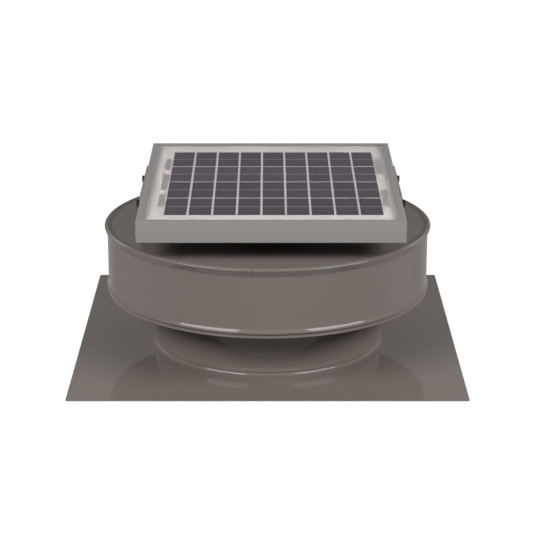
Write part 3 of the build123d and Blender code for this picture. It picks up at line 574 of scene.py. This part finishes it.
# %% Screen
WIRE_RADIUS = 0.35
WIRE_SPACING = 5.0
WIRE_SIDES = 6
WIRE_TURN_STEPS = 160
screen_low, screen_high = node_box("exhaust_screen")
screen_radius = (screen_high[0] - screen_low[0]) / 2 - WIRE_RADIUS
wire_turn = np.arange(WIRE_SIDES) * 2 * math.pi / WIRE_SIDES


def repeated(points, faces):
    """Copies of one grid, points given as (copy, point, xyz): copy k's faces start at k times its points."""
    start = np.arange(len(points))[:, None, None] * points.shape[1]
    return points.reshape(-1, 3), (np.asarray(faces)[None] + start).reshape(-1, np.shape(faces)[1])


def upright_wires():
    """Tubes along Z, evenly round the axis, as an array (wire, end row, side)."""
    count = int(round(2 * math.pi * screen_radius / WIRE_SPACING))
    angle = (np.arange(count) * 2 * math.pi / count)[:, None, None]
    height = np.array([screen_low[2], screen_low[2], screen_high[2], screen_high[2]])[None, :, None]
    thick = WIRE_RADIUS * np.array([0, 1, 1, 0])[None, :, None]
    out = screen_radius - 2 * WIRE_RADIUS + thick * np.cos(wire_turn)
    side = thick * np.sin(wire_turn)
    x = out * np.cos(angle) - side * np.sin(angle)
    y = axis_y + out * np.sin(angle) + side * np.cos(angle)
    points = np.stack(np.broadcast_arrays(x, y, height), axis=-1).reshape(count, -1, 3)
    return repeated(points, grid_faces(4, WIRE_SIDES, False, True))


def level_wires():
    """Rings of wire outside the upright ones, one above the other."""
    count = int((screen_high[2] - screen_low[2]) / WIRE_SPACING)
    heights = np.linspace(screen_low[2] + WIRE_RADIUS, screen_high[2] - WIRE_RADIUS, count)
    circle = arc((screen_radius, 0), WIRE_RADIUS, 0, 360 - 360 / WIRE_SIDES, WIRE_SIDES)
    points, faces = turned(circle, steps=WIRE_TURN_STEPS)
    return repeated(points[None] + heights[:, None, None] * np.array([0, 0, 1]), faces)


make_piece("wire_screen", [upright_wires(), level_wires()], "housing", wire_zinc,
           ["exhaust_screen"], sharp_deg=80)

# %% [markdown]
# ## Fan
# The fan is moulded in one piece: a cup-shaped hub and five twisted blades. A blade's surface is a grid
# with the distance from the axis along its rows and the way round the section along its columns. Chord
# and pitch change with the distance by a parabola through three known stations.

# %% Blades
BLADES = 5
FAN_Z = 83.0
BLADE_STATIONS = (27.0, 80.2, 133.4)
BLADE_CHORDS = (44.0, 62.0, 74.0)
BLADE_PITCHES = (38.0, 26.0, 18.0)
BLADE_CAMBER = 0.07
BLADE_THICKNESS = 2.4
BLADE_TIP = 130.0
TIP_ROUND, TIP_STEP, TIP_SWELL = 0.6, 0.2, 0.7
BLADE_ROWS, BLADE_SIDES = 40, 48
BLUNTNESS = 0.6
HUB_RADIUS, HUB_WALL = 30.0, 3.0


def blunt(value):
    """Sine or cosine raised to a power below one, with its sign kept: a circle becomes a fuller shape."""
    return np.sign(value) * np.abs(value) ** BLUNTNESS


def blades():
    """Closed blade surfaces: a point lies b off the chord at a along it, turned by the pitch, and at its
    distance from the axis: x = sqrt(r^2 - y^2). Thickness falls to nothing at the edges and the tip."""
    plain = np.linspace(HUB_RADIUS - HUB_WALL / 2, BLADE_TIP - TIP_ROUND, BLADE_ROWS)
    distance = np.concatenate([plain, [BLADE_TIP - TIP_STEP, BLADE_TIP]])
    swell = np.concatenate([[0], np.ones(BLADE_ROWS - 1), [TIP_SWELL, 0]])[:, None]
    chord = np.polyval(np.polyfit(BLADE_STATIONS, BLADE_CHORDS, 2), distance)[:, None]
    pitch = np.radians(np.polyval(np.polyfit(BLADE_STATIONS, BLADE_PITCHES, 2), distance))[:, None]
    turn = np.arange(BLADE_SIDES) * 2 * math.pi / BLADE_SIDES
    along = blunt(np.cos(turn)) / 2
    half = BLADE_THICKNESS / 2 * blunt(np.sin(turn))
    off = BLADE_CAMBER * chord * (1 - (2 * along) ** 2) + BLADE_THICKNESS / 2 + half * swell
    y = along * chord * np.cos(pitch) - off * np.sin(pitch)
    z = FAN_Z + along * chord * np.sin(pitch) + off * np.cos(pitch)
    x = np.sqrt(distance[:, None] ** 2 - y**2)
    step = (np.arange(BLADES) * 2 * math.pi / BLADES)[:, None]
    x, y, z = (value.reshape(1, -1) for value in (x, y, z))
    ring = [x * np.cos(step) - y * np.sin(step), axis_y + x * np.sin(step) + y * np.cos(step), z]
    points = np.stack(np.broadcast_arrays(*ring), axis=-1)
    return repeated(points, grid_faces(len(distance), BLADE_SIDES, False, True))


# %% Hub, and the fan in one piece
HUB_CROWN = 4.0
HUB_BOSS = 9.0
HUB_BORE = 4.05
HUB_HALF = 11.0
HUB_TURN_STEPS = 128
hub_low, hub_top = FAN_Z - HUB_HALF, FAN_Z + HUB_HALF
hub_section = rounded([
    (HUB_BORE, hub_low, 0.3), (HUB_BOSS, hub_low, 0.5), (HUB_BOSS, hub_top - HUB_CROWN, 1.0),
    (HUB_RADIUS - HUB_WALL, hub_top - HUB_CROWN, 1.0), (HUB_RADIUS - HUB_WALL, hub_low, 0.4),
    (HUB_RADIUS, hub_low, 0.4), (HUB_RADIUS, hub_top, 3.0), (HUB_BORE, hub_top, 0.3),
])
make_piece("moulded_fan", [blades(), turned(hub_section, steps=HUB_TURN_STEPS)], "rotor", fan_plastic,
           ["fan_rotor"])

# %% [markdown]
# ## Panel frame
# Four lengths of one extrusion, cut at 45 degrees, make the frame. The section is a wall with a foot, and
# two lips that hold the laminate. Carried along a rail, each point of the section ends sooner the further
# in it lies, which gives the mitre without any cutting. The panel leans a little, so its pieces are made
# level and then turned about the side bolts' axis.

# %% Rails
PANEL_WIDTH, PANEL_DEPTH, PANEL_HEIGHT = 303.0, 343.0, 25.0
PANEL_LEAN = math.radians(0.8)
PIVOT_Y = -59.0
RAIL_WALL, RAIL_LIP, RAIL_FOOT = 1.5, 8.0, 14.0
LIP_UNDER, SHELF_TOP = 23.5, 19.1
pivot = np.array(next(joint for joint in frame["joints"] if joint["name"] == "panel_tilt")["pos_m"]) / MM
print("pivot at", pivot.round(2))


def leaned(points):
    """From the panel's level frame to the fan's: turned about X by the lean, then moved to the pivot."""
    x, y, z = np.moveaxis(points - np.array([0, PIVOT_Y, PANEL_HEIGHT / 2]), -1, 0)
    c, s = math.cos(PANEL_LEAN), math.sin(PANEL_LEAN)
    return np.stack([x, y * c - z * s, y * s + z * c], axis=-1) + pivot


rail_section = rounded([
    (0, 0, 0.8), (RAIL_FOOT, 0, 0.4), (RAIL_FOOT, RAIL_WALL, 0.4), (RAIL_WALL, RAIL_WALL, 0.4),
    (RAIL_WALL, SHELF_TOP - RAIL_WALL, 0.3), (RAIL_LIP, SHELF_TOP - RAIL_WALL, 0.2),
    (RAIL_LIP, SHELF_TOP, 0.2), (RAIL_WALL, SHELF_TOP, 0.2), (RAIL_WALL, LIP_UNDER, 0.2),
    (RAIL_LIP, LIP_UNDER, 0.2), (RAIL_LIP, PANEL_HEIGHT, 0.6), (0, PANEL_HEIGHT, 0.9),
])


def rail(length, across, quarter):
    """Rail at the front of a frame, then turned by quarters: (end (length/2 - u), u - across/2, v)."""
    u, v = rail_section.T
    points = np.stack([np.stack([end * (length / 2 - u), u - across / 2, v], axis=-1) for end in (-1, 1)])
    x, y, z = np.moveaxis(points.reshape(-1, 3), -1, 0)
    c, s = [(1, 0), (0, 1), (-1, 0), (0, -1)][quarter]
    count = len(rail_section)
    ends = np.arange(2 * count).reshape(2, count)
    placed = leaned(np.stack([x * c - y * s, x * s + y * c, z], axis=-1))
    return placed, grid_faces(2, count, False, True), ends


for rail_name, length, across, quarter, finish in (
    ("front", PANEL_WIDTH, PANEL_DEPTH, 0, anodised_across),
    ("right", PANEL_DEPTH, PANEL_WIDTH, 1, anodised_along),
    ("rear", PANEL_WIDTH, PANEL_DEPTH, 2, anodised_across),
    ("left", PANEL_DEPTH, PANEL_WIDTH, 3, anodised_along),
):
    make_piece(f"extruded_rail_{rail_name}", [rail(length, across, quarter)], "panel", finish,
               [f"frame_rail_{rail_name}"])

# %% [markdown]
# ## Side bolts
# Black hex bolts hold the panel between its brackets. A hexagon with chamfered corners is a turned shape
# whose radius is never more than the distance to the nearest flat, so one profile gives shank and head.

# %% Bolts
BOLT_RADIUS, BOLT_FLATS, BOLT_HEAD = 2.5, 8.0, 3.5
HEAD_CHAMFER, HEAD_KNEE, HEAD_INSET = 0.7, (0.5, 0.3), 1.0
SHANK_INSIDE, SHANK_CHAMFER = 5.5, 0.5
BOLT_TURN = 72
LOCK_Y = 46.0


def bolt(y, side):
    """Bolt along X at the panel's edge: radius min(profile, flats / 2 / cos(a)), a from the nearest flat."""
    bolt_low, bolt_high = node_box("pivot_bolts")
    reach = (bolt_high[0] - bolt_low[0]) / 2
    under = reach - BOLT_HEAD
    corner = BOLT_FLATS / 2 / math.cos(math.pi / 6)
    shank_end = PANEL_WIDTH / 2 - RAIL_WALL - SHANK_INSIDE
    profile = np.array([
        (0, shank_end), (BOLT_RADIUS - SHANK_CHAMFER, shank_end), (BOLT_RADIUS, shank_end + SHANK_CHAMFER),
        (BOLT_RADIUS, under), (corner, under), (corner, reach - HEAD_CHAMFER),
        (corner - HEAD_KNEE[0], reach - HEAD_KNEE[1]), (corner - HEAD_INSET, reach), (0, reach)])
    angle = np.arange(BOLT_TURN) * 2 * math.pi / BOLT_TURN
    from_flat = (angle + math.pi / 6) % (math.pi / 3) - math.pi / 6
    radius = np.minimum(profile[:, 0, None], BOLT_FLATS / 2 / np.cos(from_flat))
    x = np.broadcast_to(side * profile[:, 1, None], radius.shape)
    points = np.stack([x, y + radius * np.cos(angle), PANEL_HEIGHT / 2 + radius * np.sin(angle)], axis=-1)
    return leaned(points.reshape(-1, 3)), grid_faces(len(profile), BOLT_TURN, False, True)


for bolt_name, y in (("pivot_bolts", PIVOT_Y), ("lock_bolts", LOCK_Y)):
    make_piece(f"hex_{bolt_name}", [bolt(y, -1), bolt(y, 1)], "panel", black_steel,
               [bolt_name], sharp_deg=25)

# %% [markdown]
# ## Studio
# The fan stands on a matt floor that the eye, and every mirror, sees as white. Two soft boxes in front, to
# the left and right, light it and draw the bright dashes on the beads. A weak one overhead and two weak ones
# behind keep the other sides readable. The room has a grey wall behind and is dim in front and above, so
# that the flat faces mirror the wall.

# %% Floor
FLOOR_HALF = 20000.0
FLOOR_DROP = 0.02
FLOOR_POINTS = 9
FLOOR_LIFT = 0.95


def pale_floor():
    """Matt grey floor, lifted to white for camera, mirror and glass rays, so that only the shadow shows."""
    material, tree = empty_material("pale_floor")
    path = node(tree, "ShaderNodeLightPath")
    seen = node(tree, "ShaderNodeMath", {0: path.outputs["Is Camera Ray"], 1: path.outputs["Is Glossy Ray"]},
                operation="MAXIMUM")
    seen = node(tree, "ShaderNodeMath", {0: seen.outputs[0], 1: path.outputs["Is Transmission Ray"]},
                operation="MAXIMUM")
    lift = node(tree, "ShaderNodeMath", {0: seen.outputs[0], 1: FLOOR_LIFT}, operation="MULTIPLY")
    shader = node(tree, "ShaderNodeBsdfPrincipled", {
        "Base Color": linear("#5E5C5B"), "Roughness": 0.9, "Specular IOR Level": 0.1,
        "Emission Color": linear("#FFFFFF"), "Emission Strength": lift.outputs[0]})
    node(tree, "ShaderNodeOutputMaterial", {"Surface": shader.outputs[0]})
    return material


floor_line = np.linspace(-FLOOR_HALF, FLOOR_HALF, FLOOR_POINTS) * MM
floor_x, floor_y = np.meshgrid(floor_line, floor_line)
floor_grid = np.stack([floor_x, floor_y, np.full_like(floor_x, -FLOOR_DROP * MM)], axis=-1).reshape(-1, 3)
floor_mesh = bpy.data.meshes.new("floor")
floor_mesh.from_pydata(floor_grid.tolist(), [], grid_faces(FLOOR_POINTS, FLOOR_POINTS).tolist())
floor_mesh.materials.append(pale_floor())
floor = bpy.data.objects.new("floor", floor_mesh)
bpy.context.scene.collection.objects.link(floor)
print("floor", 2 * FLOOR_HALF * MM, "m wide")

# %% World
BACK_LIGHT, FRONT_LIGHT, CEILING_SHARE = 0.26, 0.09, 0.3
WALL_FADE, CEILING_FADE = (-0.2, 0.4), (0.35, 0.9)  # along a direction of length one
world = bpy.data.worlds.new("grey_back_wall")
bpy.context.scene.world = world
world.use_nodes = True
room = world.node_tree
room.nodes.clear()
look = node(room, "ShaderNodeTexCoord")
way = node(room, "ShaderNodeSeparateXYZ", {"Vector": look.outputs["Generated"]})
wall = node(room, "ShaderNodeMapRange", {
    "Value": way.outputs["Y"], "From Min": WALL_FADE[0], "From Max": WALL_FADE[1],
    "To Min": FRONT_LIGHT, "To Max": BACK_LIGHT}, interpolation_type="SMOOTHSTEP")
share = node(room, "ShaderNodeMapRange", {
    "Value": way.outputs["Z"], "From Min": CEILING_FADE[0], "From Max": CEILING_FADE[1],
    "To Min": 1.0, "To Max": CEILING_SHARE}, interpolation_type="SMOOTHSTEP")
level = node(room, "ShaderNodeMath", {0: wall.outputs[0], 1: share.outputs[0]}, operation="MULTIPLY")
walls = node(room, "ShaderNodeBackground", {"Color": linear("#FFFFFF"), "Strength": level.outputs[0]})
node(room, "ShaderNodeOutputWorld", {"Surface": walls.outputs[0]})
print("room light from", FRONT_LIGHT, "in front to", BACK_LIGHT, "behind")

# %% Lamps
LAMP_DISTANCE, LAMP_AIM = 3.2, 0.1


def soft_box(name, azimuth_deg, elevation_deg, width, height, radiance):
    """Rectangular lamp that faces the hood, at an azimuth counted from the front towards the right; its
    power is pi times area, in square metres, times radiance."""
    lamp = bpy.data.lights.new(name, "AREA")
    lamp.shape = "RECTANGLE"
    lamp.size, lamp.size_y = width, height
    lamp.energy = math.pi * width * height * radiance
    holder = bpy.data.objects.new(name, lamp)
    azimuth, elevation = math.radians(azimuth_deg), math.radians(elevation_deg)
    holder.location = (LAMP_DISTANCE * math.cos(elevation) * math.sin(azimuth),
                       axis_y * MM - LAMP_DISTANCE * math.cos(elevation) * math.cos(azimuth),
                       LAMP_AIM + LAMP_DISTANCE * math.sin(elevation))
    holder.rotation_euler = (math.pi / 2 - elevation, 0, azimuth)
    bpy.context.scene.collection.objects.link(holder)
    print(name, round(lamp.energy, 1), "W")


soft_box("left_box", -43.5, 33, 2.2, 0.9, 12.6)
soft_box("right_box", 52, 33, 2.2, 0.9, 12.6)
soft_box("overhead_box", 0, 75, 1.6, 1.0, 0.8)
soft_box("rear_left_box", -142, 26, 2.0, 0.9, 2.4)
soft_box("rear_right_box", 142, 26, 2.0, 0.9, 2.4)

# %% [markdown]
# ## Camera
# The camera stands in front and looks down a little, with a long lens, so that the flange's sides draw
# together only slightly. Place, tilt and lens were fitted together, on a flange of 457 mm, and a very small
# sideways shift sets the fan in the frame.

# %% Camera
CAMERA_DOWN_DEG = 17.935
CAMERA_PLACE = (0.0, -2.1455, 0.7764)
SENSOR_MM, LENS_MM = 36.0, 121.83
FRAME_SHIFT = 0.00454
camera = bpy.data.cameras.new("camera")
camera.sensor_width = SENSOR_MM
camera.lens = LENS_MM
camera.shift_x = FRAME_SHIFT
viewer = bpy.data.objects.new("camera", camera)
viewer.location = CAMERA_PLACE
viewer.rotation_euler = (math.radians(90 - CAMERA_DOWN_DEG), 0, 0)
bpy.context.scene.collection.objects.link(viewer)
bpy.context.scene.camera = viewer
bpy.context.scene.view_settings.view_transform = "Standard"
print("camera looks down by", CAMERA_DOWN_DEG, "degrees")
